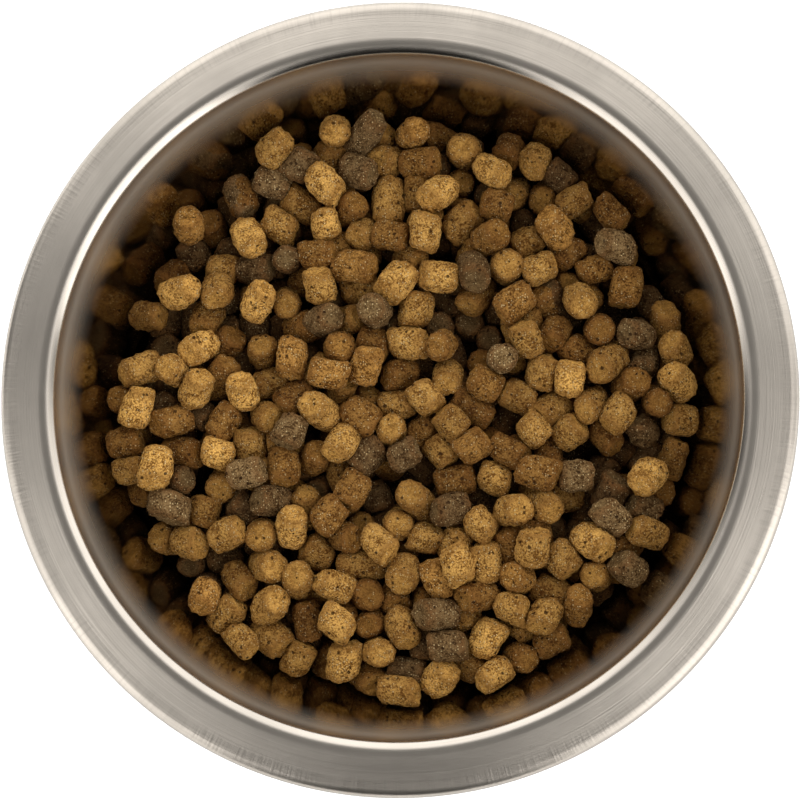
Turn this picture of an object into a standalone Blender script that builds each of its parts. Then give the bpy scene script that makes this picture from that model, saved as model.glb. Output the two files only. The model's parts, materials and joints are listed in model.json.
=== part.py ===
"""A drawn steel feeding bowl with a wide rolled rim, filled with dry kibble.

Metres, +Z up. The origin is the middle of the bowl's underside, on the bowl's axis.
"""

import math
import random

import bmesh
import bpy
from mathutils import Euler, Matrix, Vector
from mathutils.bvhtree import BVHTree

# Bowl, measured on its polished side: the inside, the top of the rim and the outside of the roll
RIM_RADIUS = 0.127
HEIGHT = 0.074
SHEET = 0.0007
CREST_RADIUS = 0.1127  # the highest ring of the rim
SHOULDER = 0.0036  # radius of the bend from the rim down into the wall
WALL_TILT = math.radians(19.5)  # from the vertical
CORNER = 0.014  # radius of the bend from the wall to the base
BAND_SLOPE = math.radians(6)  # the rim's flat band falls outwards
ROLL = 0.0035  # radius of the rolled edge
ROLL_END = math.radians(205)  # where the roll stops, from straight up
TURN_STEPS = 56

# Kibble
GAP = 0.0003  # between pieces that rest on each other
WALL_GAP = 0.0006  # from a loose piece to the true wall, whose turned facets lie a little inside it
BED_EDGE_LEVEL = 0.0380  # top of the joined lower kibble, at the wall
BED_DOME = 0.003  # how much higher it is in the middle
BED_LUMP = 0.0011
BED_RINGS = 8
LOOSE_COUNT = 58
LOOSE_SPREAD = 0.0940  # radius that holds the loose pieces' middles
LOOSE_SHIFT = 0.0010
KIBBLE_RADIUS = 0.0055
KIBBLE_LENGTH = 0.0122
KIBBLE_EDGE = 0.0019
KIBBLE_SIDES = 10
SEED = 31

STEEL = ("steel", (0.62, 0.60, 0.57), 0.22, 1.0)
KIBBLE_SHADES = (
    ("kibble_golden", (0.36, 0.20, 0.065), 0.85, 0.0),
    ("kibble_toasted", (0.24, 0.115, 0.036), 0.85, 0.0),
    ("kibble_dark", (0.12, 0.066, 0.030), 0.85, 0.0),
)
SHADE_SHARES = (0.52, 0.32, 0.16)


def clear_scene():
    for item in list(bpy.data.objects):
        bpy.data.objects.remove(item, do_unlink=True)


def make_material(name, colour, roughness, metallic):
    material = bpy.data.materials.new(name)
    material.use_nodes = True
    shader = material.node_tree.nodes["Principled BSDF"]
    shader.inputs["Base Color"].default_value = (*colour, 1)
    shader.inputs["Roughness"].default_value = roughness
    shader.inputs["Metallic"].default_value = metallic
    return material


def arc(centre, radius, start, end, steps):
    """Points (r, z) of an arc. Angles are from straight up, positive away from the axis."""
    turns = (start + (end - start) * i / steps for i in range(steps + 1))
    return [(centre[0] + radius * math.sin(a), centre[1] + radius * math.cos(a)) for a in turns]


def wall_radius(height):
    """Radius of the bowl's straight inner wall at a height."""
    bend = math.pi / 2 - WALL_TILT
    top_radius = CREST_RADIUS - SHOULDER * math.sin(bend)
    top_height = HEIGHT - SHOULDER * (1 - math.cos(bend))
    return top_radius - (top_height - height) * math.tan(WALL_TILT)


def flat_radius(floor, corner):
    """Radius where a floor at this height meets a corner bend of this radius below the straight wall."""
    bend = math.pi / 2 - WALL_TILT
    return wall_radius(floor + corner * (1 - math.cos(bend))) - corner * math.sin(bend)


def bowl_side(depth):
    """The bowl's section this far under its polished face, from the axis out to the end of the roll."""
    bend = math.pi / 2 - WALL_TILT
    corner_centre = (flat_radius(SHEET, CORNER), SHEET + CORNER)
    shoulder_centre = (CREST_RADIUS, HEIGHT - SHOULDER)
    band_width = RIM_RADIUS - ROLL - CREST_RADIUS + (ROLL - SHOULDER) * math.sin(BAND_SLOPE)
    band_fall = band_width * math.tan(BAND_SLOPE)
    roll_centre = (
        RIM_RADIUS - ROLL,
        shoulder_centre[1] + (SHOULDER - ROLL) * math.cos(BAND_SLOPE) - band_fall,
    )
    profile = [(0.0, SHEET - depth)]
    profile += arc(corner_centre, CORNER + depth, math.pi, math.pi - bend, 4)
    profile += arc(shoulder_centre, SHOULDER - depth, -bend, 0, 6)
    profile += arc(shoulder_centre, SHOULDER - depth, 0, BAND_SLOPE, 1)[1:]
    profile += arc(roll_centre, ROLL - depth, BAND_SLOPE, math.pi / 2, 4)
    profile += arc(roll_centre, ROLL - depth, math.pi / 2, ROLL_END, 4)[1:]
    return profile


def profile_object(name, profile, material):
    """An edge chain in the XZ plane, turned about Z by a Screw modifier."""
    mesh = bpy.data.meshes.new(name)
    points = [(r, 0, z) for r, z in profile]
    mesh.from_pydata(points, [(i, i + 1) for i in range(len(points) - 1)], [])
    mesh.materials.append(material)
    piece = bpy.data.objects.new(name, mesh)
    screw = piece.modifiers.new("turn", "SCREW")
    screw.axis = "Z"
    screw.angle = math.tau
    screw.steps = TURN_STEPS
    screw.render_steps = TURN_STEPS
    screw.use_merge_vertices = True
    screw.merge_threshold = 0.00001
    return piece


def make_bowl(collection):
    """The sheet's section, out along its polished face and back along the other, turned about the axis."""
    section = bowl_side(0) + bowl_side(SHEET)[::-1]
    bowl = profile_object("bowl", section, make_material(*STEEL))
    collection.objects.link(bowl)
    return bowl


def bed_level(radius):
    """Height of the bed's top: a shallow dome, highest on the axis."""
    reach = wall_radius(BED_EDGE_LEVEL) - GAP
    return BED_EDGE_LEVEL + BED_DOME * (1 - (radius / reach) ** 2)


def bed_profile():
    """The bed's outline: along the domed top, down beside the wall and in along the bowl's floor."""
    bend = math.pi / 2 - WALL_TILT
    floor = SHEET + GAP
    corner = CORNER
    wall_gap = 2 * GAP / math.cos(WALL_TILT)
    reach = wall_radius(BED_EDGE_LEVEL) - wall_gap
    profile = [(reach * i / BED_RINGS, bed_level(reach * i / BED_RINGS)) for i in range(BED_RINGS + 1)]
    centre = (flat_radius(floor, corner) - wall_gap, floor + corner)
    profile += arc(centre, corner, math.pi - bend, math.pi, 3)
    profile.append((0.0, floor))
    return profile


def lump(x, y):
    """Low uneven swells, about two pieces of kibble apart."""
    wave = math.tau / 0.031
    return 0.5 * BED_LUMP * (math.sin(wave * x + 2 * math.sin(0.7 * wave * y)) + math.cos(wave * y - 0.8 * wave * x))


def make_bed(collection, material):
    """The lower kibble, joined: a turned solid whose top is then made uneven."""
    turned = profile_object("kibble_bed", bed_profile(), material)
    collection.objects.link(turned)
    evaluated = turned.evaluated_get(bpy.context.evaluated_depsgraph_get())
    mesh = bpy.data.meshes.new_from_object(evaluated)
    inner = wall_radius(BED_EDGE_LEVEL) * (1 - 0.5 / BED_RINGS)
    for vertex in mesh.vertices:
        x, y, z = vertex.co
        if z > BED_EDGE_LEVEL - GAP and math.hypot(x, y) < inner:
            vertex.co.z += lump(x, y)
    turned.modifiers.clear()
    turned.data = mesh
    return turned


def kibble_mesh(radius, length, taper, material):
    """A short round bar with softened edges, along Z, its middle at the origin."""
    shape = bmesh.new()
    bmesh.ops.create_cone(
        shape,
        cap_ends=True,
        segments=KIBBLE_SIDES,
        radius1=radius,
        radius2=radius * taper,
        depth=length,
    )
    rims = [e for e in shape.edges if any(len(f.verts) > 4 for f in e.link_faces)]
    bmesh.ops.bevel(shape, geom=rims, offset=KIBBLE_EDGE, segments=2, profile=0.5, affect="EDGES")
    mesh = bpy.data.meshes.new("kibble")
    shape.to_mesh(mesh)
    shape.free()
    mesh.materials.append(material)
    mesh.shade_smooth()
    return mesh


def wall_overrun(mesh, place):
    """How far a piece reaches past the wall, less WALL_GAP, or 0."""
    points = [place @ v.co for v in mesh.vertices]
    return max(0.0, *(math.hypot(p.x, p.y) - wall_radius(p.z) + WALL_GAP for p in points))


def let_down(mesh, place, bed, bed_tree):
    """The place with the piece moved straight up or down until it is GAP above the bed."""
    lift = Matrix.Translation((0, 0, HEIGHT))
    points = [lift @ place @ v.co for v in mesh.vertices]
    falls = [bed_tree.ray_cast(p, (0, 0, -1))[3] for p in points]
    piece_tree = BVHTree.FromPolygons(points, [list(f.vertices) for f in mesh.polygons])
    rises = [piece_tree.ray_cast(v.co, (0, 0, 1))[3] for v in bed.data.vertices]
    fall = min(d for d in falls + rises if d is not None) - GAP
    return Matrix.Translation((0, 0, HEIGHT - fall)) @ place


def make_loose_kibble(collection, bed, materials):
    """Loose pieces spread evenly over the bed by the golden angle, each turned its own way and let down onto it."""
    chance = random.Random(SEED)
    bed_tree = BVHTree.FromPolygons(
        [v.co for v in bed.data.vertices], [list(f.vertices) for f in bed.data.polygons]
    )
    golden_angle = math.pi * (3 - math.sqrt(5))
    for i in range(LOOSE_COUNT):
        radius = KIBBLE_RADIUS * chance.uniform(0.93, 1.06)
        length = KIBBLE_LENGTH * chance.uniform(0.88, 1.12)
        material = chance.choices(materials, SHADE_SHARES)[0]
        mesh = kibble_mesh(radius, length, chance.uniform(0.90, 1.0), material)
        lean = math.acos(chance.random())
        turn = Euler((lean, 0, chance.uniform(0, math.tau))).to_matrix().to_4x4()
        spread = LOOSE_SPREAD * math.sqrt((i + 0.5) / LOOSE_COUNT)
        x = spread * math.cos(i * golden_angle) + chance.uniform(-LOOSE_SHIFT, LOOSE_SHIFT)
        y = spread * math.sin(i * golden_angle) + chance.uniform(-LOOSE_SHIFT, LOOSE_SHIFT)
        place = Matrix.Translation((x, y, HEIGHT)) @ turn
        place = let_down(mesh, place, bed, bed_tree)
        outwards = Vector((x, y, 0)).normalized()
        place = Matrix.Translation(-outwards * wall_overrun(mesh, place)) @ place
        place = let_down(mesh, place, bed, bed_tree)
        piece = bpy.data.objects.new(f"kibble_{i + 1:02d}", mesh)
        piece.matrix_world = place
        collection.objects.link(piece)


def main():
    clear_scene()
    collection = bpy.data.collections.new("filled_bowl")
    bpy.context.scene.collection.children.link(collection)
    make_bowl(collection)
    shades = [make_material(*shade) for shade in KIBBLE_SHADES]
    bed = make_bed(collection, shades[1])
    make_loose_kibble(collection, bed, shades)


main()
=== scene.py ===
"""A drawn steel feeding bowl filled with dry kibble: the finish of its steel, its food and a plain stage.

Laid out as an add-on and run as a script. Metres, +Z up, the origin in the middle of the bowl's underside.
"""

import json
import math

import bpy
import numpy as np
from bpy.props import FloatProperty, FloatVectorProperty, IntProperty, PointerProperty
from mathutils import Matrix, Vector


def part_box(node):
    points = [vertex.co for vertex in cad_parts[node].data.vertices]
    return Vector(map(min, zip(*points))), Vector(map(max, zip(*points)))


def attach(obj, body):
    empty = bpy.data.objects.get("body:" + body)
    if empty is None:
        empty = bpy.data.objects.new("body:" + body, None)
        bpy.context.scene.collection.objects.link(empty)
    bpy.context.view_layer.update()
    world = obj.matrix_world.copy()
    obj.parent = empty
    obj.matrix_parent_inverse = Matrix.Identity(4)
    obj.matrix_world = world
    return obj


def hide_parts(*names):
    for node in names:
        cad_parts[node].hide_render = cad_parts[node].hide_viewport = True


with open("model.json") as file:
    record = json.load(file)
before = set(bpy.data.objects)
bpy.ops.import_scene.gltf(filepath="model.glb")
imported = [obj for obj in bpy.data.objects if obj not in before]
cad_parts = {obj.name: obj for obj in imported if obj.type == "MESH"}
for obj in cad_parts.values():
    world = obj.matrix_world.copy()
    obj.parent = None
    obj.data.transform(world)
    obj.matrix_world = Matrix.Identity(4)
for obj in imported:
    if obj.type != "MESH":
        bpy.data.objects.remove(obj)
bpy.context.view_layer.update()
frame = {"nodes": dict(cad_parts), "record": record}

bl_info = {
    "name": "Filled Feeding Bowl",
    "version": (1, 0, 0),
    "blender": (4, 5, 0),
    "location": "View3D > Sidebar > Feeding Bowl",
    "description": "A drawn steel feeding bowl with a rolled rim, filled with dry kibble",
    "category": "Add Mesh",
}

BOWL_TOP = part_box("bowl")[1]
BED_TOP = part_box("kibble_bed")[1][2]
RIM_RADIUS = BOWL_TOP[0]
HEIGHT = BOWL_TOP[2]
BODY = "root"
TURN_STEPS = 288
ROLL_END = math.radians(205)  # where the rolled edge stops, from straight up
SHADE_OF_NODE = {s["node"]: s["material_slot"].removeprefix("kibble_") for s in frame["record"]["subparts"]}
LOOSE_NODES = sorted(name for name in frame["nodes"] if name.startswith("kibble_") and name != "kibble_bed")


# ---------------------------------------------------------------- settings


class BowlSettings(bpy.types.PropertyGroup):
    """Sizes and finish of the bowl."""

    sheet: FloatProperty(name="Sheet", description="Thickness of the steel", default=0.0007, unit="LENGTH")
    crest: FloatProperty(
        name="Crest radius", description="Radius of the rim's highest ring", default=0.1134, unit="LENGTH"
    )
    crown: FloatProperty(
        name="Crown", description="Gentle bend at the rim's highest ring", default=0.0085, unit="LENGTH"
    )
    crown_end: FloatProperty(
        name="Crown end", description="Slope where the crown turns into the shoulder", default=math.radians(9),
        unit="ROTATION",
    )
    shoulder: FloatProperty(
        name="Shoulder", description="Bend from the rim down into the wall", default=0.0040, unit="LENGTH"
    )
    wall_tilt: FloatProperty(
        name="Wall tilt", description="Wall's angle from the vertical", default=math.radians(19.5), unit="ROTATION"
    )
    corner: FloatProperty(
        name="Corner", description="Bend from the wall to the base", default=0.014, unit="LENGTH"
    )
    band_slope: FloatProperty(
        name="Band slope", description="How much the rim falls outwards", default=math.radians(6), unit="ROTATION"
    )
    roll: FloatProperty(name="Roll", description="Radius of the rolled edge", default=0.0035, unit="LENGTH")
    groove: FloatProperty(
        name="Groove", description="Depth of the faint dip inside the roll", default=0.00003, unit="LENGTH"
    )
    # the rim's steel is set darker than the wall's steel: painted shade that offsets the light, which was raised to
    # brighten the kibble
    steel: FloatVectorProperty(
        name="Steel", description="Colour of the satin rim", subtype="COLOR", size=3,
        default=(0.465, 0.420, 0.365),
    )
    wall_steel: FloatVectorProperty(
        name="Wall steel", description="Colour of the inner wall", subtype="COLOR", size=3,
        default=(0.50, 0.46, 0.395),
    )
    satin: FloatProperty(name="Satin", description="Roughness of the rim's band", default=0.31)
    scuffed: FloatProperty(name="Scuffed", description="Roughness of the wall under the shoulder", default=0.42)
    polish: FloatProperty(name="Polish", description="Roughness of the inner wall", default=0.10)


class KibbleSettings(bpy.types.PropertyGroup):
    """Sizes, number and colours of the kibble."""

    filler_count: IntProperty(
        name="Filler pieces", description="Pieces between and under the loose ones", default=438
    )
    radius: FloatProperty(name="Radius", description="A piece's usual radius", default=0.0051, unit="LENGTH")
    half_length: FloatProperty(
        name="Half length", description="Half a piece's usual length", default=0.0057, unit="LENGTH"
    )
    loose_share: FloatProperty(
        name="Loose share", description="Size of the loose pieces beside the packed ones", default=0.93
    )
    seed: IntProperty(name="Seed", description="Which random heap is made", default=12)
    golden: FloatVectorProperty(
        name="Golden", description="Colour of the pale pieces", subtype="COLOR", size=3,
        default=(0.405, 0.205, 0.045),
    )
    toasted: FloatVectorProperty(
        name="Toasted", description="Colour of the browner pieces", subtype="COLOR", size=3,
        default=(0.25, 0.116, 0.024),
    )
    dark: FloatVectorProperty(
        name="Dark", description="Colour of the darkest pieces", subtype="COLOR", size=3,
        default=(0.140, 0.082, 0.030),
    )
    # colour of the piece edges: partly a real baked crust, partly painted shade where the rounded edges turn from
    # the light
    crust: FloatVectorProperty(
        name="Crust", description="Colour of the baked edges", subtype="COLOR", size=3,
        default=(0.125, 0.046, 0.011),
    )
    crumb: FloatVectorProperty(
        name="Crumb", description="Colour of the pale grains", subtype="COLOR", size=3,
        default=(0.74, 0.54, 0.27),
    )


class StageSettings(bpy.types.PropertyGroup):
    """Floor, light and camera."""

    floor: FloatVectorProperty(
        name="Floor", description="Colour of the floor", subtype="COLOR", size=3, default=(0.90, 0.90, 0.89)
    )
    floor_glow: FloatProperty(
        name="Floor glow", description="The floor's own light, as of a light table", default=0.45
    )
    camera_distance: FloatProperty(
        name="Camera distance", description="From the rim's middle", default=0.604, unit="LENGTH"
    )
    camera_lean: FloatProperty(
        name="Camera lean", description="Camera's angle from straight up", default=math.radians(6.8), unit="ROTATION"
    )
    camera_bearing: FloatProperty(
        name="Camera bearing", description="Which way the camera leans, from +X", default=math.radians(-57.6),
        unit="ROTATION",
    )
    frame_width: FloatProperty(
        name="Frame width", description="Width that the camera sees at the rim", default=0.2521, unit="LENGTH"
    )
    aim: FloatVectorProperty(
        name="Aim", description="Where on the rim's plane the camera looks", size=2, default=(0.0018, -0.0031),
        unit="LENGTH",
    )


# ---------------------------------------------------------------- shader maths


class Signal:
    """One output of a shader node. Arithmetic on it adds Math nodes, so that a pattern reads as a formula."""

    def __init__(self, board, socket):
        self.board = board
        self.socket = socket

    def also(self, name):
        """Another output of the same node."""
        return Signal(self.board, self.socket.node.outputs[name])

    def math(self, operation, first, second=None):
        values = {0: first} if second is None else {0: first, 1: second}
        return self.board.node("ShaderNodeMath", {"operation": operation}, values)

    def __add__(self, other):
        return self.math("ADD", self, other)

    def __radd__(self, other):
        return self.math("ADD", other, self)

    def __sub__(self, other):
        return self.math("SUBTRACT", self, other)

    def __rsub__(self, other):
        return self.math("SUBTRACT", other, self)

    def __mul__(self, other):
        return self.math("MULTIPLY", self, other)

    def __rmul__(self, other):
        return self.math("MULTIPLY", other, self)

    def __truediv__(self, other):
        return self.math("DIVIDE", self, other)

    def __rtruediv__(self, other):
        return self.math("DIVIDE", other, self)

    def __pow__(self, other):
        return self.math("POWER", self, other)


class Board:
    """A node tree and the one method that adds a node to it."""

    def __init__(self, tree):
        self.tree = tree
        self.tree.nodes.clear()

    def node(self, kind, settings=None, values=None, output=0):
        """Adds a node: its settings first, such as an operation, then its sockets' values or links."""
        added = self.tree.nodes.new(kind)
        for name, setting in (settings or {}).items():
            setattr(added, name, setting)
        for name, value in (values or {}).items():
            if isinstance(value, Signal):
                self.tree.links.new(value.socket, added.inputs[name])
            else:
                added.inputs[name].default_value = value
        return Signal(self, added.outputs[output]) if added.outputs else None

    def place(self):
        """The point being shaded, in the object's own axes."""
        return self.node("ShaderNodeTexCoord", output="Object")

    def attribute(self, name):
        return self.node("ShaderNodeAttribute", {"attribute_name": name}, output="Fac")

    def noise(self, place, scale, detail=2.0, roughness=0.5):
        values = {"Vector": place, "Scale": scale, "Detail": detail, "Roughness": roughness}
        return self.node("ShaderNodeTexNoise", None, values, "Fac")

    def cells(self, place, scale):
        """Distance to the nearest of scattered points. also("Color") is a random colour for each point's cell."""
        return self.node("ShaderNodeTexVoronoi", None, {"Vector": place, "Scale": scale}, "Distance")

    def shift(self, place, offset):
        return self.node("ShaderNodeVectorMath", {"operation": "ADD"}, {0: place, 1: offset})

    def fade(self, value, start, end):
        """0 up to start, 1 from end on, and smooth between them. End may be below start."""
        settings = {"interpolation_type": "SMOOTHSTEP"}
        return self.node("ShaderNodeMapRange", settings, {"Value": value, "From Min": start, "From Max": end})

    def mix(self, factor, first, second):
        """From the first colour to the second as the factor goes from 0 to 1."""
        colours = [c if isinstance(c, Signal) else (*c, 1.0) for c in (first, second)]
        return self.node("ShaderNodeMix", {"data_type": "RGBA"}, {0: factor, 6: colours[0], 7: colours[1]}, 2)

    def bump(self, height, distance, strength=1.0):
        return self.node("ShaderNodeBump", None, {"Height": height, "Distance": distance, "Strength": strength})

    def finish(self, **values):
        """The surface shader, its sockets named with underscores for spaces."""
        named = {name.replace("_", " "): value for name, value in values.items()}
        shader = self.node("ShaderNodeBsdfPrincipled", None, named)
        self.node("ShaderNodeOutputMaterial", None, {"Surface": shader})


def new_material(name):
    material = bpy.data.materials.new(name)
    material.use_nodes = True
    return material, Board(material.node_tree)


def steel_material(look):
    """Drawn stainless steel: fine turned rings on the rim and the outside, short creases across the roll where
    the edge was turned over, and a hazy scuff below the shoulder.

    Three attributes follow the section: dull is the roughness, inside is 1 on the inner wall, and brushed is
    1 where the turned rings show.
    """
    material, board = new_material("drawn_steel")
    place = board.place()
    dull = board.attribute("dull")
    inside = board.attribute("inside")
    brushed_side = board.attribute("brushed")
    x = board.node("ShaderNodeSeparateXYZ", None, {"Vector": place}, "X")
    y, z = x.also("Y"), x.also("Z")
    radius = (x * x + y * y) ** 0.5
    around = board.node("ShaderNodeCombineXYZ", None, {"X": x / radius, "Y": y / radius, "Z": radius * 0.4})
    rings = board.node("ShaderNodeCombineXYZ", None, {"X": (radius + z) * 260.0, "Y": x * 2.2, "Z": y * 2.2})
    on_roll = board.fade(radius, RIM_RADIUS - 0.0072, RIM_RADIUS - 0.0044)
    edge = board.fade(radius, RIM_RADIUS - 0.0011, RIM_RADIUS - 0.0002)

    brushed = board.noise(rings, 9.0, 3.0, 0.6)
    creases = board.noise(around, 140.0, 3.0, 0.6)
    smears = board.noise(place, 38.0, 3.0, 0.55)
    haze = board.noise(place, 260.0, 4.0, 0.6)

    steel = np.array(look.steel)
    rim = board.mix(board.fade(smears, 0.35, 0.70), tuple(1.04 * steel), tuple(0.88 * steel))
    rim = board.mix(board.fade(brushed, 0.45, 0.70) * 0.5, rim, tuple(0.84 * steel))
    rim = board.mix(on_roll * board.fade(creases, 0.46, 0.72) * 0.4, rim, tuple(0.72 * steel))
    # painted shade: a thin dark line round the outermost edge, standing in for the dark that the roll reflects from
    # under the bowl
    rim = board.mix(edge * 0.8, rim, tuple(0.45 * steel))
    heights = brushed * 0.5 * brushed_side + creases * 0.9 * on_roll + haze * 0.05
    board.finish(
        # painted shade: the rim takes the darker copy of the steel colour, the inner wall the lighter one
        Base_Color=board.mix(inside, rim, tuple(look.wall_steel)),
        Metallic=1 - inside * (dull - look.polish) * 0.62,
        Roughness=dull + (brushed - 0.5) * 0.14 * brushed_side + (smears - 0.5) * 0.07 + (haze - 0.5) * 0.03,
        Normal=board.bump(heights, 0.00006),
    )
    return material


def kibble_material(name, body, look):
    """Baked meal: mottled body colour, browner edges that are partly a real baked crust and partly painted shade,
    pale grains, pores darkened with painted shade and a gritty surface.

    The mottle is coarse noise plus fine noise plus the piece's tone, which is random and, for the filler, also
    painted shade that darkens the deeper pieces. Grains and pores are the middles of scattered cells, where a cell's
    random colour says that it holds one.
    """
    material, board = new_material(name)
    place = board.place()
    tone = board.attribute("tone")
    cut_end = board.attribute("cut_end")
    edge = board.attribute("edge")

    coarse = board.noise(place, 330.0, 4.0, 0.6)
    fine = board.noise(place, 1500.0, 3.0, 0.65)
    grit = board.cells(place, 1300.0)
    grit_pick = board.node("ShaderNodeSeparateColor", None, {"Color": grit.also("Color")}, "Red")
    pores = board.cells(board.shift(place, (0.37, 0.11, 0.23)), 620.0)
    pore_pick = board.node("ShaderNodeSeparateColor", None, {"Color": pores.also("Color")}, "Green")

    body = np.array(body)
    pale = board.mix(tone, tuple(body * 0.36), tuple(np.minimum(body * (2.35, 2.62, 3.10), 1.0)))
    deep = board.mix(tone, tuple(body * (0.13, 0.08, 0.05)), tuple(body * (0.40, 0.32, 0.22)))
    mottle = board.fade((coarse - 0.5) * 3.2 + (fine - 0.5) * 5.2, -0.82, 0.74)
    colour = board.mix(mottle, deep, pale)
    # browner edges: partly a real baked crust, partly painted shade on the rounded edges
    crust_and_painted_shade = edge * board.fade(coarse + fine, 0.70, 1.15) * 0.75
    colour = board.mix(crust_and_painted_shade, colour, tuple(look.crust))
    ends = tuple(np.minimum(body * 1.15, 1.0))
    colour = board.mix(cut_end * 0.35, colour, ends)
    grain = board.fade(grit, 0.44, 0.20) * board.fade(grit_pick, 0.70, 0.82)
    colour = board.mix(grain * (0.28 + tone * 0.57), colour, tuple(look.crumb))
    pore_size = 0.6 + board.node("ShaderNodeSeparateColor", None, {"Color": pores.also("Color")}, "Blue") * 0.9
    pore = board.fade(pores / pore_size, 0.30, 0.16) * board.fade(pore_pick, 0.82, 0.86)
    # painted shade: the pits are darkened almost to black
    colour = board.mix(pore * 0.85, colour, (0.030, 0.012, 0.004))

    heights = coarse * 0.9 + fine * 0.55 + grain * 0.25 - pore * 0.9 - board.fade(grit, 0.1, 0.7) * 0.22
    board.finish(
        Base_Color=colour,
        Roughness=0.55 + fine * 0.25 + pore * 0.1,
        Specular_IOR_Level=0.05,
        Normal=board.bump(heights, 0.00105),
    )
    return material


# ---------------------------------------------------------------- shapes


def arc(centre, radius, start, end, count):
    """Points (r, z) at centre plus radius times (sin a, cos a), a from start to end, the last left out."""
    angle = np.linspace(start, end, count, endpoint=False)
    return np.column_stack((centre[0] + radius * np.sin(angle), centre[1] + radius * np.cos(angle)))


def line(start, end, count):
    """Points evenly from start towards end, the last left out."""
    share = np.linspace(0.0, 1.0, count, endpoint=False)[:, None]
    return np.asarray(start) * (1 - share) + np.asarray(end) * share


def shoulder_centre(look):
    """Middle of the shoulder's bend: on the crown's line at its end, inside by the difference of the two radii."""
    inside = look.crown - look.shoulder
    return (
        look.crest - inside * math.sin(look.crown_end),
        HEIGHT - look.crown + inside * math.cos(look.crown_end),
    )


def wall_radius(look, height):
    """Radius of the bowl's straight inner wall at a height: the shoulder bend's lower end, less the wall's lean."""
    bend = math.pi / 2 - look.wall_tilt
    middle = shoulder_centre(look)
    top = middle[1] + look.shoulder * math.cos(bend)
    return middle[0] - look.shoulder * math.sin(bend) - (top - height) * math.tan(look.wall_tilt)


def bowl_side(look, depth, detail):
    """The bowl's section this far under its polished face, from the axis out to the end of the roll.

    Straight runs and arcs that meet at one slope, moved by their bends' radii, less a faint dip inside the
    roll: groove times the bell curve of the distance from its middle.
    """
    bend = math.pi / 2 - look.wall_tilt
    corner_top = look.sheet + look.corner * (1 - math.cos(bend))
    flat = wall_radius(look, corner_top) - look.corner * math.sin(bend)
    corner_centre = (flat, look.sheet + look.corner)
    slope = look.band_slope
    crown_centre = (look.crest, HEIGHT - look.crown)
    roll_radius = RIM_RADIUS - look.roll
    band_width = roll_radius - look.crest + (look.roll - look.crown) * math.sin(slope)
    roll_height = crown_centre[1] + (look.crown - look.roll) * math.cos(slope) - band_width * math.tan(slope)
    roll_centre = (roll_radius, roll_height)

    corner = arc(corner_centre, look.corner + depth, math.pi, math.pi - bend, 10 * detail)
    shoulder = arc(shoulder_centre(look), look.shoulder - depth, -bend, -look.crown_end, 14 * detail)
    crown = arc(crown_centre, look.crown - depth, -look.crown_end, slope, 6 * detail)
    roll = arc(roll_centre, look.roll - depth, slope, ROLL_END, 14 * detail)
    section = np.vstack(
        (
            line((0.0, look.sheet - depth), corner[0], 6),
            corner,
            line(arc(corner_centre, look.corner + depth, math.pi - bend, 0, 1)[0], shoulder[0], 10 * detail),
            shoulder,
            crown,
            line(arc(crown_centre, look.crown - depth, slope, 1, 1)[0], roll[0], 8 * detail),
            roll,
            arc(roll_centre, look.roll - depth, ROLL_END, ROLL_END + 1, 1),
        )
    )
    dip_middle = RIM_RADIUS - 0.0050
    on_top = section[:, 1] > roll_height
    section[:, 1] -= on_top * look.groove * np.exp(-(((section[:, 0] - dip_middle) / 0.0015) ** 2))
    return section


def turned_mesh(name, section, steps):
    """A section (r, z) carried round Z: x = r cos t, y = r sin t. Its ends on the axis become single points."""
    turn = np.arange(steps) * (math.tau / steps)
    ring = np.stack((np.cos(turn), np.sin(turn)), axis=-1)
    body = section[1:-1]
    grid = np.empty((len(body), steps, 3))
    grid[..., :2] = body[:, None, :1] * ring
    grid[..., 2] = body[:, 1:]
    first, last = (0.0, 0.0, section[0, 1]), (0.0, 0.0, section[-1, 1])
    points = np.vstack((grid.reshape(-1, 3), first, last))
    here = np.arange(steps)
    following = (here + 1) % steps
    rows = (np.arange(len(body) - 1) * steps)[:, None]
    quads = np.stack((rows + here, rows + following, rows + steps + following, rows + steps + here), axis=-1)
    first_index = len(points) - 2
    end_row = (len(body) - 1) * steps
    first_fan = np.stack((np.full(steps, first_index), following, here), axis=-1)
    last_fan = np.stack((np.full(steps, first_index + 1), end_row + here, end_row + following), axis=-1)
    mesh = bpy.data.meshes.new(name)
    mesh.from_pydata(points, [], quads.reshape(-1, 4).tolist() + first_fan.tolist() + last_fan.tolist())
    mesh.shade_smooth()
    return mesh


# A piece of kibble's cage: rings from one end to the other, as shares of its radius and half length. Rounding
# draws a ring of eight points in by a tenth, so they lie that much further out.
CAGE_RADII = np.array((0.62, 1.02, 1.15, 1.15, 1.02, 0.62))
CAGE_HEIGHTS = np.array((1.05, 1.00, 0.50, -0.50, -1.00, -1.05))
CAGE_ENDS = (0.9, 0.35, 0.0, 0.0, 0.35, 0.9)
# CAGE_EDGES weights the browner edge colour, which is partly a real baked crust and partly painted shade
CAGE_EDGES = (0.25, 1.0, 0.30, 0.30, 1.0, 0.25)
CAGE_AROUND = 8
CAGE_ROOM = 0.0011  # from a cage to the bowl's wall, for the lumps that come later


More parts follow.
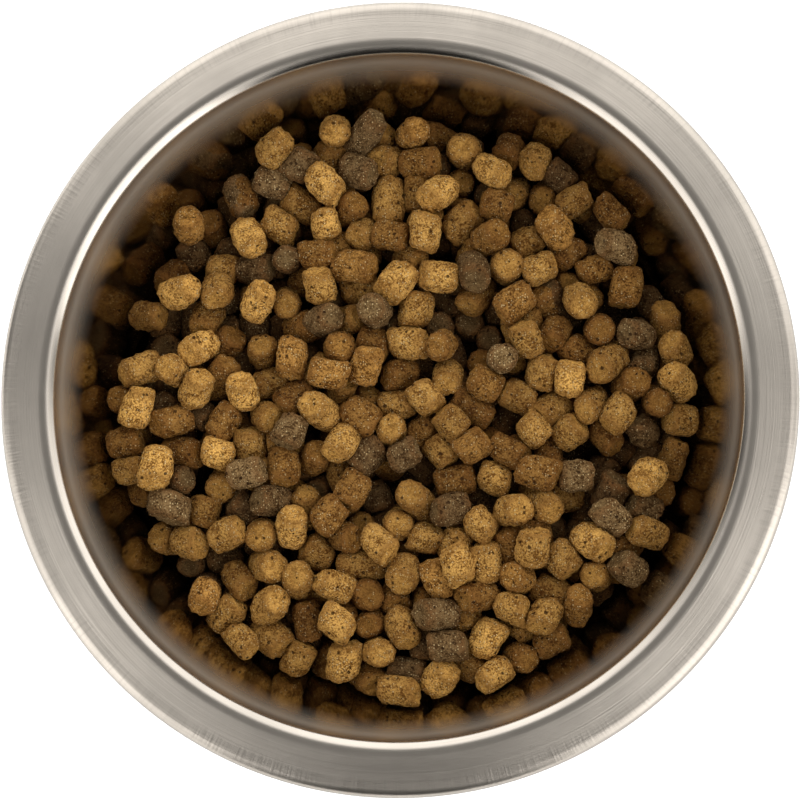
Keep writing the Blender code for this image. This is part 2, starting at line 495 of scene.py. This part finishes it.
def kibble_cage(pieces, chance):
    """Corner points of many pieces' cages, as an array (piece, point, xyz), with each point's attributes.

    A point is at (radius share * radius * swell * (cos t, sin t), height share * half length). Swell is one
    plus two low waves around the piece and a taper along it. The ends are sheared off square, the piece
    bends a little, every point is nudged, and the whole is turned to the piece's axis. Points near the wall
    are drawn in to it.
    """
    count = len(pieces["middle"])
    turn = np.arange(CAGE_AROUND) * (math.tau / CAGE_AROUND)

    def own(low, high):
        return chance.uniform(low, high, (count, 1, 1))

    oval = own(0.0, 0.07) * np.cos(2 * turn + own(0, math.tau))
    lobes = own(0.0, 0.05) * np.cos(3 * turn + own(0, math.tau))
    taper = own(-0.07, 0.07) * CAGE_HEIGHTS[:, None]
    across = pieces["radius"][:, None, None] * CAGE_RADII[:, None] * (1 + oval + lobes + taper)
    x, y = across * np.cos(turn), across * np.sin(turn)
    half = pieces["half"][:, None, None]
    z = half * CAGE_HEIGHTS[:, None] + own(-0.22, 0.22) * x + own(-0.16, 0.16) * y
    x = x + own(-0.0007, 0.0007) * (z / half) ** 2
    rings = np.stack((x, y, z), axis=-1).reshape(count, -1, 3)
    dent = chance.uniform(-0.0005, 0.0003, (count, 2))
    poles = np.zeros((count, 2, 3))
    poles[:, 0, 2] = pieces["half"] * CAGE_HEIGHTS[0] + dent[:, 0]
    poles[:, 1, 2] = pieces["half"] * CAGE_HEIGHTS[-1] - dent[:, 1]
    cage = np.concatenate((rings, poles), axis=1)
    cage += chance.normal(0.0, 0.00026, cage.shape)
    side, other = cross_axes(pieces["axis"])
    axes = np.stack((side, other, pieces["axis"]), axis=1)
    placed = pieces["middle"][:, None, :] + cage @ axes
    limit = wall_radius(bpy.context.scene.bowl_settings, placed[..., 2]) - CAGE_ROOM
    placed[..., :2] *= np.minimum(limit / np.linalg.norm(placed[..., :2], axis=2), 1.0)[..., None]

    cut_end = np.tile(np.append(np.repeat(CAGE_ENDS, CAGE_AROUND), (1.0, 1.0)), (count, 1))
    edge = np.tile(np.append(np.repeat(CAGE_EDGES, CAGE_AROUND), (0.0, 0.0)), (count, 1))
    tone = np.repeat(pieces["tone"][:, None], placed.shape[1], axis=1)
    return placed, {"cut_end": cut_end, "edge": edge, "tone": tone}


def cross_axes(axis):
    """Two unit vectors square to each axis and to each other."""
    helper = np.where(np.abs(axis[:, 2:]) < 0.8, (0.0, 0.0, 1.0), (1.0, 0.0, 0.0))
    side = np.cross(helper, axis)
    side /= np.linalg.norm(side, axis=1, keepdims=True)
    return side, np.cross(axis, side)


def kibble_mesh(name, pieces, chance):
    """One mesh for these pieces: each a closed cage of rings with a fan at both ends."""
    placed, attributes = kibble_cage(pieces, chance)
    count, size = placed.shape[:2]
    rings = len(CAGE_RADII)
    here = np.arange(CAGE_AROUND)
    following = (here + 1) % CAGE_AROUND
    rows = (np.arange(rings - 1) * CAGE_AROUND)[:, None]
    below = rows + CAGE_AROUND
    quads = np.stack((rows + here, below + here, below + following, rows + following), axis=-1).reshape(-1, 4)
    end_row = (rings - 1) * CAGE_AROUND
    first = np.stack((np.full(CAGE_AROUND, size - 2), here, following), axis=-1)
    last = np.stack((np.full(CAGE_AROUND, size - 1), end_row + following, end_row + here), axis=-1)
    fans = np.vstack((first, last))
    starts = (np.arange(count) * size)[:, None, None]
    faces = (quads + starts).reshape(-1, 4).tolist() + (fans + starts).reshape(-1, 3).tolist()
    mesh = bpy.data.meshes.new(name)
    mesh.from_pydata(placed.reshape(-1, 3), [], faces)
    for attribute, values in attributes.items():
        layer = mesh.attributes.new(attribute, "FLOAT", "POINT")
        layer.data.foreach_set("value", values.ravel().astype(np.float32))
    mesh.shade_smooth()
    return mesh


# ---------------------------------------------------------------- the heap


def node_stance(node):
    """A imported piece's middle, axis, radius and half length.

    Its ends are its widest flat faces, so its axis is the direction that the most of its area faces.
    """
    mesh = node.data
    count = len(mesh.polygons)
    normals, areas = np.empty(count * 3), np.empty(count)
    mesh.polygons.foreach_get("normal", normals)
    mesh.polygons.foreach_get("area", areas)
    points = np.empty(len(mesh.vertices) * 3)
    mesh.vertices.foreach_get("co", points)
    points = points.reshape(-1, 3)
    facing, group = np.unique(np.round(normals.reshape(-1, 3), 2), axis=0, return_inverse=True)
    axis = facing[np.argmax(np.bincount(group.ravel(), areas))]
    axis = axis / np.linalg.norm(axis)
    along = points @ axis
    flat = points - along[:, None] * axis
    middle = (flat.max(axis=0) + flat.min(axis=0)) / 2
    middle = middle - (middle @ axis) * axis
    radius = np.linalg.norm(flat - middle, axis=1).max()
    return middle + axis * (along.max() + along.min()) / 2, axis, radius, np.ptp(along) / 2


def loose_pieces():
    """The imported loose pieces' stances, as arrays."""
    stances = [node_stance(frame["nodes"][name]) for name in LOOSE_NODES]
    middle, axis, radius, half = (np.array(column) for column in zip(*stances, strict=True))
    share = bpy.context.scene.kibble_settings.loose_share
    return {"middle": middle, "axis": axis, "radius": radius * share, "half": half * share}


EDGE_SHARE = 0.36  # a piece's edge radius as a share of its radius
SAMPLE_AROUND = 10
HEAP_DEPTH = 0.0145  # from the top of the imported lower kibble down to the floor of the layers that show
HEAP_HEAD = 0.0100  # from there up to the lid under which the pieces grow
MASS_LOW = 0.014  # where the deep mass turns in from the wall to the base


def sample_points(middle, axis, radius, half):
    """Points on each piece's surface: rings on its ends, its round edges and its side, and its ends' middles."""
    edge = radius * EDGE_SHARE
    slant = edge * (1 - math.sqrt(0.5))
    zero = np.zeros_like(radius)
    across = np.stack(
        (zero, 0.5 * radius, radius - slant, radius, radius, radius, radius - slant, 0.5 * radius, zero)
    )
    along = np.stack((half, half, half - slant, half - edge, zero, edge - half, slant - half, -half, -half))
    side, other = cross_axes(axis)
    turn = np.arange(SAMPLE_AROUND) * (math.tau / SAMPLE_AROUND)
    ring = np.cos(turn)[:, None, None] * side + np.sin(turn)[:, None, None] * other
    points = middle + across[:, None, :, None] * ring + along[:, None, :, None] * axis
    return np.moveaxis(points, 2, 0).reshape(len(radius), -1, 3)


def bar_distance(points, axis, radius, half):
    """How far points are outside round-edged bars centred on the origin, and the way out.

    With q the pair (distance from the axis less the radius, distance along it less the half length), each
    plus the edge radius, it is the length of q's positive part, plus q's larger number where both are
    negative, less the edge radius.
    """
    edge = radius * EDGE_SHARE
    along = np.einsum("pkc,pc->pk", points, axis)
    flat = points - along[..., None] * axis[:, None]
    across = np.sqrt(np.einsum("pkc,pkc->pk", flat, flat)) + 1e-9
    q_across = across - (radius - edge)[:, None]
    q_along = np.abs(along) - (half - edge)[:, None]
    out_across, out_along = np.maximum(q_across, 0.0), np.maximum(q_along, 0.0)
    outside = np.hypot(out_across, out_along)
    inside = np.minimum(np.maximum(q_across, q_along), 0.0)
    return outside + inside - edge[:, None]


def way_out(point, axis, radius, half):
    """The direction in which bar_distance grows fastest, at one point for each bar."""
    edge = radius * EDGE_SHARE
    along = np.einsum("pc,pc->p", point, axis)
    flat = point - along[:, None] * axis
    across = np.linalg.norm(flat, axis=1) + 1e-9
    q = np.stack((across - (radius - edge), np.abs(along) - (half - edge)), axis=1)
    pull = np.maximum(q, 0.0)
    larger = np.stack((q[:, 0] >= q[:, 1], q[:, 0] < q[:, 1]), axis=1).astype(float)
    pull = np.where(pull.max(axis=1, keepdims=True) > 0, pull, larger)
    pull /= np.linalg.norm(pull, axis=1, keepdims=True)
    sign = np.where(along >= 0, 1.0, -1.0)
    return flat / across[:, None] * pull[:, :1] + axis * (pull[:, 1] * sign)[:, None]


class Heap:
    """Round-edged bars settling in the bowl. Each step pushes overlapping pieces apart, keeps them off the wall
    and the floor, turns them by the same pushes, and lets the free ones sink."""

    TURN_EASE = 0.35  # of reach squared: how hard a piece is to turn, as for a solid ball
    START_SIZE = 0.40
    CLEAR_START = 0.0075  # from a held piece's middle to where a free one may start
    WALL_ROOM = 0.0007  # kept between a bar and the wall for the piece's crumbly surface

    def __init__(self, look, held, free_count, floor, lid, chance):
        kibble = bpy.context.scene.kibble_settings
        self.look, self.floor, self.lid = look, floor, lid
        middle = self.scatter(4 * free_count, chance)
        gaps = np.linalg.norm(middle[:, None] - held["middle"][None], axis=2)
        middle = middle[gaps.min(axis=1) > self.CLEAR_START][:free_count]
        count = len(middle)
        axis = chance.normal(0, 1, (count, 3))
        radius = kibble.radius * chance.uniform(0.90, 1.08, count)
        half = kibble.half_length * chance.uniform(0.84, 1.14, count)
        half[::23] *= 1.4
        self.middle = np.vstack((held["middle"], middle))
        self.axis = np.vstack((held["axis"], axis / np.linalg.norm(axis, axis=1, keepdims=True)))
        self.full_radius = np.append(held["radius"], radius)
        self.full_half = np.append(held["half"], half)
        self.free = np.append(np.zeros(len(held["radius"])), np.ones(count))

    def scatter(self, count, chance):
        """Places spread evenly between the floor and the lid: the radius is the wall's times a root of chance."""
        height = self.floor + 0.005 + (self.lid - self.floor - 0.009) * chance.uniform(0, 1, count)
        spread = np.sqrt(chance.uniform(0, 1, count)) * (wall_radius(self.look, height) - 0.006)
        bearing = chance.uniform(0, math.tau, count)
        return np.stack((spread * np.cos(bearing), spread * np.sin(bearing), height), axis=1)

    def settle(self, growing, sinking, resting):
        """Pieces start small and grow to size, then sink, then rest until they are clear of each other."""
        for step in range(growing):
            self.step(self.START_SIZE + (1 - self.START_SIZE) * (step + 1) / growing, 0.0, True)
        for step in range(sinking):
            self.step(1.0, 0.00020, False)
        for step in range(resting):
            self.step(1.0, 0.0, False)

    def sized(self, size):
        """Radius, half length and how hard a turn is, with the free pieces at this share of their full size."""
        share = np.where(self.free > 0, size, 1.0)
        radius, half = self.full_radius * share, self.full_half * share
        return radius, half, 1 / (self.TURN_EASE * (radius**2 + half**2))

    def overlaps(self, points, radius, half):
        """Every pair where a surface point of the first is inside the second: both, how deep, and that point."""
        reach = np.hypot(radius, half)
        gaps = np.linalg.norm(self.middle[:, None] - self.middle[None], axis=2)
        near = (gaps < reach[:, None] + reach[None]) & (self.free[:, None] + self.free[None] > 0)
        np.fill_diagonal(near, False)
        one, two = np.nonzero(near)
        outside = bar_distance(points[one] - self.middle[two][:, None], self.axis[two], radius[two], half[two])
        deepest = np.argmin(outside, axis=1)
        depth = -outside[np.arange(len(one)), deepest]
        hit = depth > 0
        return one[hit], two[hit], depth[hit], points[one[hit], deepest[hit]]

    def step(self, size, sink, lidded):
        radius, half, turn_ease = self.sized(size)
        self.middle[:, 2] -= sink * self.free
        points = sample_points(self.middle, self.axis, radius, half)
        one, two, depth, touch = self.overlaps(points, radius, half)
        normal = way_out(touch - self.middle[two], self.axis[two], radius[two], half[two])
        move, spin = np.zeros_like(self.middle), np.zeros_like(self.middle)
        arms = [np.cross(touch - self.middle[i], normal) for i in (one, two)]
        weights = [
            self.free[i] * (1 + np.einsum("pc,pc->p", arm, arm) * turn_ease[i])
            for i, arm in zip((one, two), arms, strict=True)
        ]
        push = 0.42 * depth / (weights[0] + weights[1])
        for i, arm, sign in ((one, arms[0], 1.0), (two, arms[1], -1.0)):
            share = (sign * push * self.free[i])[:, None]
            np.add.at(move, i, share * normal)
            np.add.at(spin, i, share * arm * turn_ease[i][:, None])
        self.keep_inside(points, move, spin, turn_ease, lidded)
        self.middle += move
        self.axis += np.cross(spin, self.axis)
        self.axis /= np.linalg.norm(self.axis, axis=1, keepdims=True)

    def keep_inside(self, points, move, spin, turn_ease, lidded):
        """Pushes back whatever is past the leaning wall, the floor or, while pieces grow, the lid."""
        tilt = self.look.wall_tilt
        across = np.linalg.norm(points[..., :2], axis=2)
        past_wall = (across - wall_radius(self.look, points[..., 2]) + self.WALL_ROOM) * math.cos(tilt)
        inwards = -points[..., :2] / (across[..., None] + 1e-9) * math.cos(tilt)
        off_wall = np.concatenate((inwards, np.full((*across.shape, 1), math.sin(tilt))), axis=-1)
        up = np.broadcast_to((0.0, 0.0, 1.0), points.shape)
        limits = [(past_wall, off_wall), (self.floor - points[..., 2], up)]
        if lidded:
            limits.append((points[..., 2] - self.lid, -up))
        everyone = np.arange(len(points))
        for past, ways in limits:
            worst = np.argmax(past, axis=1)
            depth = np.maximum(past[everyone, worst], 0.0) * self.free
            normal = ways[everyone, worst]
            arm = np.cross(points[everyone, worst] - self.middle, normal)
            weight = 1 + np.einsum("pc,pc->p", arm, arm) * turn_ease
            share = (0.8 * depth / weight)[:, None]
            move += share * normal
            spin += share * arm * turn_ease[:, None]

    def clear(self, limit):
        """Which pieces stay: all but the free ones that are deeper than the limit in a piece before them."""
        radius, half, _ = self.sized(1.0)
        one, two, depth, _ = self.overlaps(sample_points(self.middle, self.axis, radius, half), radius, half)
        stays = np.ones(len(radius), dtype=bool)
        later = np.maximum(one, two)
        stays[later[(depth > limit) & (self.free[later] > 0)]] = False
        return stays


def pick(pieces, chosen):
    return {name: values[chosen] for name, values in pieces.items()}


# ---------------------------------------------------------------- pieces


def add_piece(name, mesh, material, nodes):
    """A finished piece of the object, riding on the one body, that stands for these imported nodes."""
    mesh.materials.append(material)
    piece = bpy.data.objects.new(name, mesh)
    bpy.context.scene.collection.objects.link(piece)
    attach(piece, BODY)
    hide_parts(*nodes)
    return piece


def roughen(piece, levels=2):
    """Rounds the cages and gives them the uneven crumbly surface of baked meal."""
    rounding = piece.modifiers.new("rounding", "SUBSURF")
    rounding.levels = levels
    rounding.render_levels = levels
    lumps = bpy.data.textures.get("crumbly lumps") or bpy.data.textures.new("crumbly lumps", "CLOUDS")
    lumps.noise_scale = 0.0021
    lumps.noise_depth = 2
    lumps.noise_basis = "ORIGINAL_PERLIN"
    crumbly = piece.modifiers.new("crumbly", "DISPLACE")
    crumbly.texture = lumps
    crumbly.texture_coords = "LOCAL"
    crumbly.strength = 0.0020
    crumbly.mid_level = 0.5


def kibble_finish(shade):
    """The shade's material, made once."""
    look = bpy.context.scene.kibble_settings
    name = f"{shade}_meal"
    return bpy.data.materials.get(name) or kibble_material(name, getattr(look, shade), look)


class FEEDINGBOWL_OT_bowl(bpy.types.Operator):
    """Make the drawn steel bowl"""

    bl_idname = "feedingbowl.bowl"
    bl_label = "Steel Bowl"

    def execute(self, context):
        look = context.scene.bowl_settings
        face, back = bowl_side(look, 0.0, 2), bowl_side(look, look.sheet, 1)[::-1]
        mesh = turned_mesh("drawn_bowl", np.vstack((face, back)), TURN_STEPS)
        # the wall is scuffed just under the shoulder and polished further down
        drop = HEIGHT - face[:, 1]
        scuffs = np.interp(
            drop, (0.0002, 0.0012, 0.0024, 0.0045, 0.0170), (look.satin, 0.17, 0.30, look.scuffed, look.polish)
        )
        in_bowl = face[:, 0] < look.crest
        on_band = np.clip((face[:, 0] - look.crest) / 0.003 + 0.67, 0, 1)
        profiles = {
            "dull": np.append(np.where(in_bowl, scuffs, look.satin), np.full(len(back), 0.34)),
            "inside": np.append(in_bowl * np.clip((drop - 0.0012) / 0.004, 0, 1), np.zeros(len(back))),
            "brushed": np.append(on_band, np.ones(len(back))),
        }
        for name, profile in profiles.items():
            values = np.append(np.repeat(profile[1:-1], TURN_STEPS), profile[[0, -1]])
            mesh.attributes.new(name, "FLOAT", "POINT").data.foreach_set("value", values.astype(np.float32))
        add_piece("drawn_bowl", mesh, steel_material(look), ["bowl"])
        return {"FINISHED"}


class FEEDINGBOWL_OT_loose_kibble(bpy.types.Operator):
    """Make the loose kibble that lies on top, one piece for each packed one"""

    bl_idname = "feedingbowl.loose_kibble"
    bl_label = "Loose Kibble"

    def execute(self, context):
        chance = np.random.default_rng(context.scene.kibble_settings.seed)
        pieces = loose_pieces()
        pieces["tone"] = chance.uniform(0.35, 1, len(LOOSE_NODES))
        for i, node in enumerate(LOOSE_NODES):
            shade = SHADE_OF_NODE[node]
            mesh = kibble_mesh(node.replace("kibble", "loose"), pick(pieces, slice(i, i + 1)), chance)
            piece = add_piece(mesh.name, mesh, kibble_finish(shade), [node])
            roughen(piece)
        return {"FINISHED"}


class FEEDINGBOWL_OT_filler_kibble(bpy.types.Operator):
    """Settle the kibble between and under the loose pieces, and make it with the solid mass beneath"""

    bl_idname = "feedingbowl.filler_kibble"
    bl_label = "Filler Kibble"

    def execute(self, context):
        bowl, kibble = context.scene.bowl_settings, context.scene.kibble_settings
        chance = np.random.default_rng(kibble.seed + 1)
        held = loose_pieces()
        floor = BED_TOP - HEAP_DEPTH
        heap = Heap(bowl, held, kibble.filler_count, floor, BED_TOP + HEAP_HEAD, chance)
        heap.settle(110, 70, 50)
        stays = heap.clear(0.0010)
        stays[: len(LOOSE_NODES)] = False
        pieces = {
            "middle": heap.middle[stays],
            "axis": heap.axis[stays],
            "radius": heap.full_radius[stays],
            "half": heap.full_half[stays],
            "tone": chance.uniform(0, 1, stays.sum()),
        }
        # painted shade: the deeper a piece lies, the darker its tone
        painted_depth_shade = np.clip((pieces["middle"][:, 2] - floor - 0.009) / 0.016, 0, 1)
        pieces["tone"] = (0.4 * pieces["tone"] + 0.6 * painted_depth_shade) ** 1.4
        shade_of_piece = chance.choice(5, stays.sum(), p=(0.28, 0.28, 0.17, 0.17, 0.10))
        # painted shade: the pieces low in the heap all take the darkest kibble colour
        painted_dark_below = pieces["middle"][:, 2] < floor + 0.006
        for i, shade in enumerate(("golden", "golden", "toasted", "toasted", "dark")):
            chosen = (shade_of_piece == i) & ~painted_dark_below
            self.make_group(f"filler_{shade}_{i + 1}", shade, pick(pieces, chosen), chance, 2)
        self.make_group("filler_buried", "dark", pick(pieces, painted_dark_below), chance, 1)
        self.make_deep_mass(bowl, floor)
        return {"FINISHED"}

    def make_group(self, name, shade, pieces, chance, levels):
        mesh = kibble_mesh(name, pieces, chance)
        piece = add_piece(name, mesh, kibble_finish(shade), ["kibble_bed"])
        roughen(piece, levels)

    def make_deep_mass(self, look, floor):
        """The kibble under the layers that show: a turned solid that fills the bowl up to them, given the darkest
        kibble colour at its lowest tone as painted shade.

        Its top is as high as the floor of those layers, less a low swell: the product of two sines.
        """
        low_radius = wall_radius(look, MASS_LOW)
        wall = line((wall_radius(look, floor) - 0.0020, floor), (low_radius - 0.0020, MASS_LOW), 8)
        base = line((low_radius - 0.0060, 0.0045), (0.0, 0.0025), 6)
        top = line((0.0, floor), wall[0], 40)
        mesh = turned_mesh("deep_mass", np.vstack((top, wall, base, [(0.0, 0.0025)])), 120)
        points = np.empty(len(mesh.vertices) * 3)
        mesh.vertices.foreach_get("co", points)
        points = points.reshape(-1, 3)
        on_top = points[:, 2] > floor - 1e-6
        swell = 0.0016 * (1 + np.sin(points[:, 0] * 620) * np.sin(points[:, 1] * 590))
        points[:, 2] -= np.where(on_top, swell, 0.0)
        mesh.vertices.foreach_set("co", points.ravel())
        for name in ("tone", "cut_end", "edge"):
            mesh.attributes.new(name, "FLOAT", "POINT")
        # painted shade: the solid mass takes the darkest kibble colour, with its tone left at zero
        add_piece("deep_mass", mesh, kibble_finish("dark"), ["kibble_bed"])


class FEEDINGBOWL_OT_stage(bpy.types.Operator):
    """Make the pale floor, the soft light and the camera"""

    bl_idname = "feedingbowl.stage"
    bl_label = "Stage"

    def execute(self, context):
        look = context.scene.stage_settings
        self.make_floor(look)
        self.make_world(context.scene)
        self.make_camera(context.scene, look)
        context.scene.view_settings.view_transform = "Standard"
        return {"FINISHED"}

    def make_floor(self, look):
        material, board = new_material("pale_floor")
        mottle = board.noise(board.place(), 3.0, 2.0)
        pale = tuple(look.floor)
        board.finish(
            Base_Color=board.mix(mottle, pale, tuple(0.985 * c for c in pale)),
            Roughness=0.85,
            Emission_Color=(1.0, 1.0, 1.0, 1.0),
            Emission_Strength=look.floor_glow,
        )
        mesh = bpy.data.meshes.new("floor")
        half = 3.0
        corners = [(-half, -half, 0.0), (half, -half, 0.0), (half, half, 0.0), (-half, half, 0.0)]
        mesh.from_pydata(corners, [], [(0, 1, 2, 3)])
        mesh.materials.append(material)
        floor = bpy.data.objects.new("floor", mesh)
        bpy.context.scene.collection.objects.link(floor)

    def make_world(self, scene):
        """A dim grey room with three tall soft lights around it, a darker gap between two of them, and nothing
        bright straight overhead."""
        world = bpy.data.worlds.new("soft_room")
        world.use_nodes = True
        scene.world = world
        board = Board(world.node_tree)
        sky = board.node("ShaderNodeTexCoord", output="Generated")
        back = self.tall_light(board, sky, 76, 44, 86, 63)
        left = self.tall_light(board, sky, 209, 18, 36, 66)
        right = self.tall_light(board, sky, 325, 22, 34, 72)
        dark_gap = self.tall_light(board, sky, 268, 16, 38, 84)
        light = 0.14 * (1 - dark_gap * 0.9) + back * 2.10 + left * 2.2 + right * 2.8
        shine = board.node("ShaderNodeBackground", None, {"Color": (1, 1, 1, 1), "Strength": light})
        board.node("ShaderNodeOutputWorld", None, {"Surface": shine})

    def tall_light(self, board, sky, bearing, inner, outer, top):
        """A light from the horizon up to a height, all in degrees: 1 within its inner angle from its bearing,
        0 from its outer angle on, and fading out in the ten degrees around its top."""
        x = board.node("ShaderNodeSeparateXYZ", None, {"Vector": sky}, "X")
        y, z = x.also("Y"), x.also("Z")
        turn = math.radians(bearing)
        facing = (x * math.cos(turn) + y * math.sin(turn)) / ((x * x + y * y) ** 0.5 + 1e-6)
        beside = board.fade(facing, math.cos(math.radians(outer)), math.cos(math.radians(inner)))
        below = board.fade(z, math.sin(math.radians(top + 5)), math.sin(math.radians(top - 5)))
        return beside * below

    def make_camera(self, scene, look):
        """Looks at the rim's middle from above, leaning a little, with +Y up in its picture."""
        lens = bpy.data.cameras.new("overhead_camera")
        lens.sensor_fit = "HORIZONTAL"
        lens.lens = lens.sensor_width * look.camera_distance / look.frame_width
        camera = bpy.data.objects.new("overhead_camera", lens)
        lean, bearing = look.camera_lean, look.camera_bearing
        back = Vector((math.sin(lean) * math.cos(bearing), math.sin(lean) * math.sin(bearing), math.cos(lean)))
        right = Vector((0, 1, 0)).cross(back).normalized()
        turned = Matrix((right, back.cross(right), back)).transposed().to_4x4()
        camera.matrix_world = Matrix.Translation(Vector((*look.aim, HEIGHT)) + back * look.camera_distance) @ turned
        scene.collection.objects.link(camera)
        scene.camera = camera


class FEEDINGBOWL_PT_panel(bpy.types.Panel):
    """Lists the pieces and their sizes and colours."""

    bl_idname = "FEEDINGBOWL_PT_panel"
    bl_label = "Feeding Bowl"
    bl_space_type = "VIEW_3D"
    bl_region_type = "UI"
    bl_category = "Feeding Bowl"

    def draw(self, context):
        for operator in OPERATORS:
            self.layout.operator(operator.bl_idname)
        for settings in SETTINGS:
            box = self.layout.box()
            group = getattr(context.scene, settings)
            for name in group.__annotations__:
                box.prop(group, name)


SETTINGS = {"bowl_settings": BowlSettings, "kibble_settings": KibbleSettings, "stage_settings": StageSettings}
OPERATORS = (
    FEEDINGBOWL_OT_stage,
    FEEDINGBOWL_OT_bowl,
    FEEDINGBOWL_OT_loose_kibble,
    FEEDINGBOWL_OT_filler_kibble,
)


def register():
    for item in (*SETTINGS.values(), *OPERATORS, FEEDINGBOWL_PT_panel):
        bpy.utils.register_class(item)
    for name, settings in SETTINGS.items():
        setattr(bpy.types.Scene, name, PointerProperty(type=settings))


def unregister():
    for name in SETTINGS:
        delattr(bpy.types.Scene, name)
    for item in (FEEDINGBOWL_PT_panel, *OPERATORS, *SETTINGS.values()):
        bpy.utils.unregister_class(item)


def main():
    register()
    bpy.ops.feedingbowl.stage()
    bpy.ops.feedingbowl.bowl()
    bpy.ops.feedingbowl.loose_kibble()
    bpy.ops.feedingbowl.filler_kibble()


if __name__ == "__main__":
    main()
